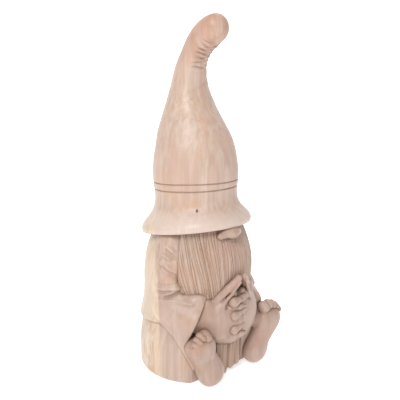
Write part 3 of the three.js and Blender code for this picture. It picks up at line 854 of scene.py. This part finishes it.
def wood(
    name, heart, shade, depth=1.0, gloss=0.0, left_highlight=0.0, left_shade=0.0, low_shade=0.0, brim_highlight=0.0,
):
    """Pale carved hardwood: one block, so every piece shares the same grain and sapwood.

    shade is the brown of the painted shade in cuts and hollows, and depth how strong that shade is.
    left_highlight and left_shade are how much painted highlight or painted shade it gets towards the
    gnome's left, low_shade how much painted shade below the hands, and brim_highlight how much painted
    highlight on the brim.
    """
    g = Graph(name)
    place = g.add("ShaderNodeTexCoord").outputs["Object"]

    warp = g.noise(g.stretched(place, (14, 14, 6)), 1.0, 2.0)
    fibre_wide = g.noise(g.stretched(place, (260, 260, 9)), 1.0, 4.0, 0.6, 0.4)
    fibre_fine = g.noise(g.stretched(place, (1100, 1100, 36)), 1.0, 4.0, 0.65)
    patch = g.noise(g.stretched(place, (30, 30, 17)), 1.0, 3.0, 0.5, 0.6)
    cloud = g.noise(g.stretched(place, (60, 60, 30)), 1.0, 4.0, 0.6, 0.5)

    parts = g.add("ShaderNodeSeparateXYZ", {0: place})
    x, y, z = parts.outputs
    towards = g.math("ADD", g.math("MULTIPLY", x, -0.72), g.math("MULTIPLY", y, 0.695))
    ring_place = g.math("ADD", g.math("MULTIPLY", towards, 95.0), g.math("MULTIPLY", warp, 3.2))
    rings = g.math("SINE", g.math("MULTIPLY", ring_place, 6.283))
    rings = g.ramp(rings, -1.0, 1.0)

    pale = tuple(min(1, c * f) for c, f in zip(heart, (1.16, 1.24, 1.3))) + (1,)
    dark = tuple(c * f for c, f in zip(heart, (0.76, 0.68, 0.62))) + (1,)
    pink = tuple(c * f for c, f in zip(heart, (0.98, 0.84, 0.84))) + (1,)
    green = tuple(c * f for c, f in zip(heart, (0.86, 0.92, 0.8))) + (1,)
    amber = tuple(c * f for c, f in zip(heart, (1.04, 0.84, 0.66))) + (1,)
    base = heart + (1,)

    colour = g.mix(g.ramp(fibre_wide, 0.3, 0.7), dark, pale)
    colour = g.mix(0.45, colour, base)
    colour = g.mix(g.math("MULTIPLY", g.ramp(patch, 0.46, 0.66), 0.6), colour, pink)
    colour = g.mix(g.math("MULTIPLY", g.ramp(cloud, 0.5, 0.7), 0.4), colour, green)
    colour = g.mix(g.math("MULTIPLY", rings, 0.11), colour, dark)
    amber_place = g.noise(g.stretched(place, (42, 42, 26)), 1.0, 3.0, 0.55, 0.8)
    colour = g.mix(g.math("MULTIPLY", g.ramp(amber_place, 0.5, 0.74), 0.45), colour, amber)
    # painted shade: everything at forearm height is darkened
    arms = g.math("MULTIPLY", g.ramp(z, 0.086, 0.078), g.ramp(z, 0.036, 0.05))
    colour = g.mix(g.math("MULTIPLY", arms, ARM_BAND_SHADE), colour, dark)

    # painted highlight: the brim is made paler
    brim = g.math("MULTIPLY", g.ramp(z, BRIM_HIGHLIGHT_END, BRIM_HIGHLIGHT_END - 0.012), brim_highlight)
    colour = g.mix(brim, colour, BRIM_HIGHLIGHT_COLOUR)
    ragged = g.noise(g.stretched(place, (90, 90, 24)), 1.0, 3.0)
    leftwards = g.ramp(x, -0.004, 0.02)
    above_feet = g.ramp(z, 0.044, 0.056)
    # painted highlight: paler towards the gnome's left, above the feet
    colour = g.mix(g.math("MULTIPLY", g.math("MULTIPLY", leftwards, above_feet), left_highlight), colour, pale)
    # painted shade: darker towards the gnome's left, the side turned away from the key lamp
    colour = g.mix(g.math("MULTIPLY", leftwards, left_shade), colour, dark)
    # painted shade: darker below the hands
    colour = g.mix(g.math("MULTIPLY", g.math("SUBTRACT", 1.0, above_feet), low_shade), colour, dark)

    colour = with_sapwood(g, colour, place, z, towards, warp, ragged, fibre_wide)
    colour = g.mix(g.math("MULTIPLY", g.ramp(fibre_fine, 0.54, 0.74), 0.3), colour, dark)
    colour = g.mix(g.math("MULTIPLY", g.ramp(fibre_fine, 0.44, 0.25), 0.28), colour, pale)

    colour = with_tip_and_knot(g, colour, place, z, cloud, ragged)

    openness = g.add("ShaderNodeAttribute", attribute_name="openness").outputs["Fac"]
    # painted shade: the less open the carved surface, the more its colour goes to the shade brown, standing
    # in for shade in cuts and hollows
    hollow_shade = g.ramp(openness, 0.9, 0.2)
    colour = g.mix(g.math("MULTIPLY", hollow_shade, 0.46 * depth), colour, shade + (1,))

    pore_place = g.stretched(place, (1500, 1500, 190))
    pores = g.add("ShaderNodeTexVoronoi", {"Vector": pore_place, "Scale": 1.0, "Randomness": 1.0})
    pores = pores.outputs["Distance"]
    pore = g.math("MULTIPLY", g.ramp(pores, 0.2, 0.05), g.ramp(fibre_wide, 0.4, 0.6))
    colour = g.mix(g.math("MULTIPLY", pore, 0.35), colour, dark)

    tool = g.noise(g.stretched(place, (150, 150, 80)), 1.0, 2.0)
    height = g.math("ADD", g.math("MULTIPLY", fibre_fine, 0.35), g.math("MULTIPLY", tool, 0.3))
    height = g.math("SUBTRACT", height, g.math("MULTIPLY", pore, 0.3))
    bump = g.add("ShaderNodeBump", {"Strength": 0.35, "Distance": 0.0006, "Height": height})
    bump = bump.outputs["Normal"]

    rough = g.ramp(tool, 0.3, 0.7, 0.44 - gloss, 0.56 - gloss)
    rough = g.math("ADD", rough, g.math("MULTIPLY", hollow_shade, 0.22))
    shader = g.add(
        "ShaderNodeBsdfPrincipled", {"Base Color": colour, "Roughness": rough, "Normal": bump},
    )
    shader.inputs["Specular IOR Level"].default_value = 0.45
    shader.inputs["Subsurface Weight"].default_value = 0.0
    g.add("ShaderNodeOutputMaterial", {"Surface": shader.outputs[0]})
    return g.material


# the brown of the painted shade in cuts and hollows
HOLLOW_SHADE_BROWN = (0.25, 0.15, 0.095)
MATERIALS = {
    "hat_wood": wood(
        "hat_wood", (0.457, 0.338, 0.273), HOLLOW_SHADE_BROWN, gloss=0.08, left_shade=0.22, brim_highlight=0.5,
    ),
    "body_wood": wood("body_wood", (0.43, 0.32, 0.265), HOLLOW_SHADE_BROWN, gloss=0.08),
    "beard_wood": wood("beard_wood", (0.42, 0.305, 0.245), HOLLOW_SHADE_BROWN, depth=1.45, low_shade=0.6),
    "skin_wood": wood(
        "skin_wood", (0.385, 0.272, 0.222), HOLLOW_SHADE_BROWN, gloss=0.06, left_highlight=0.5, low_shade=0.12,
    ),
}
SLOTS = {part["node"]: part["material_slot"] for part in frame["record"]["subparts"]}

# ---- The pieces -----------------------------------------------------------------------------------

FINENESS = {
    "coat": 0.7, "trousers": 0.75, "beard": 0.42, "beard_end": 0.45, "nose": 0.4,
    "sleeve_right": 0.55, "sleeve_left": 0.55, "hand_right": 0.42, "hand_left": 0.42,
    "foot_right": 0.42, "foot_left": 0.42,
}


def place_piece(piece, node):
    piece.data.materials.append(MATERIALS[SLOTS[node]])
    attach(piece, "root")
    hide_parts(node)


for node, step in FINENESS.items():
    place_piece(sculpt(node, step), node)
place_piece(hat_piece(), "hat")
head = bpy.data.objects["head"]
head.data.materials.clear()
head.data.materials.append(MATERIALS[SLOTS["head"]])

# ---- Paper, light and camera ----------------------------------------------------------------------


VIEW_PLACE = (-0.3619, -0.3748, 0.260)
VIEW_HEADING = math.radians(44.35)  # the way the camera looks, from +Y towards +X
VIEW_DOWN = 12.2  # how far it looks down, in degrees
PAPER_GLOW = 0.55


def sweep():
    """White paper: a floor that curves up into a backdrop behind the figure, as the camera sees it."""
    half, near, back, bend, high = 4.0, -3.0, 2.2, 0.9, 4.0
    z = cad_box[0][2] - 0.0001
    steps = 14
    arc = [
        (back + bend * math.sin(a), z + bend * (1 - math.cos(a)))
        for a in (math.pi / 2 * i / steps for i in range(steps + 1))
    ]
    section = [(near, z), *arc, (back + bend, z + high)]
    turn = VIEW_HEADING
    verts = []
    for along, height in section:
        for across in (-half, half):
            x = along * math.sin(turn) + across * math.cos(turn)
            y = along * math.cos(turn) - across * math.sin(turn)
            verts.append((x, y, height))
    faces = [(2 * i, 2 * i + 1, 2 * i + 3, 2 * i + 2) for i in range(len(section) - 1)]
    mesh = bpy.data.meshes.new("sweep")
    mesh.from_pydata(verts, [], faces)
    mesh.polygons.foreach_set("use_smooth", np.ones(len(faces), bool))
    made = bpy.data.objects.new("sweep", mesh)
    bpy.context.scene.collection.objects.link(made)
    g = Graph("sweep_paper")
    tint = g.noise(g.add("ShaderNodeTexCoord").outputs["Object"], 3.0)
    colour = g.mix(g.ramp(tint, 0.4, 0.6), (0.93, 0.93, 0.93, 1), (0.95, 0.95, 0.95, 1))
    shader = g.add(
        "ShaderNodeBsdfPrincipled",
        {"Base Color": colour, "Roughness": 0.9, "Emission Color": colour, "Emission Strength": PAPER_GLOW},
    )
    g.add("ShaderNodeOutputMaterial", {"Surface": shader.outputs[0]})
    made.data.materials.append(g.material)


def aimed(made, target):
    direction = Vector(target) - made.location
    made.rotation_euler = direction.to_track_quat("-Z", "Y").to_euler()


def lamp(name, place, size, power, target=(0, 0, 0.13)):
    data = bpy.data.lights.new(name, "AREA")
    data.size = size
    data.energy = power
    made = bpy.data.objects.new(name, data)
    made.location = place
    bpy.context.scene.collection.objects.link(made)
    aimed(made, target)


def lights():
    world = bpy.data.worlds.new("studio")
    world.use_nodes = True
    background = world.node_tree.nodes["Background"]
    background.inputs["Color"].default_value = (1, 1, 1, 1)
    background.inputs["Strength"].default_value = 0.62
    bpy.context.scene.world = world
    lamp("key", (-1.05, -0.62, 1.2), 0.6, 17)
    lamp("top", (-0.1, 0.1, 1.5), 1.2, 6)
    bpy.context.scene.view_settings.view_transform = "Standard"


def camera():
    """The photograph's viewpoint: front right of the gnome, level with the hat."""
    data = bpy.data.cameras.new("camera")
    data.sensor_width = 36
    data.lens = 55.8
    made = bpy.data.objects.new("camera", data)
    made.location = VIEW_PLACE
    heading, down = VIEW_HEADING, math.radians(VIEW_DOWN)
    level = math.cos(down)
    ahead = Vector((math.sin(heading) * level, math.cos(heading) * level, -math.sin(down)))
    made.rotation_euler = ahead.to_track_quat("-Z", "Y").to_euler()
    data.clip_start = 0.01
    bpy.context.scene.collection.objects.link(made)
    bpy.context.scene.camera = made


sweep()
lights()
camera()
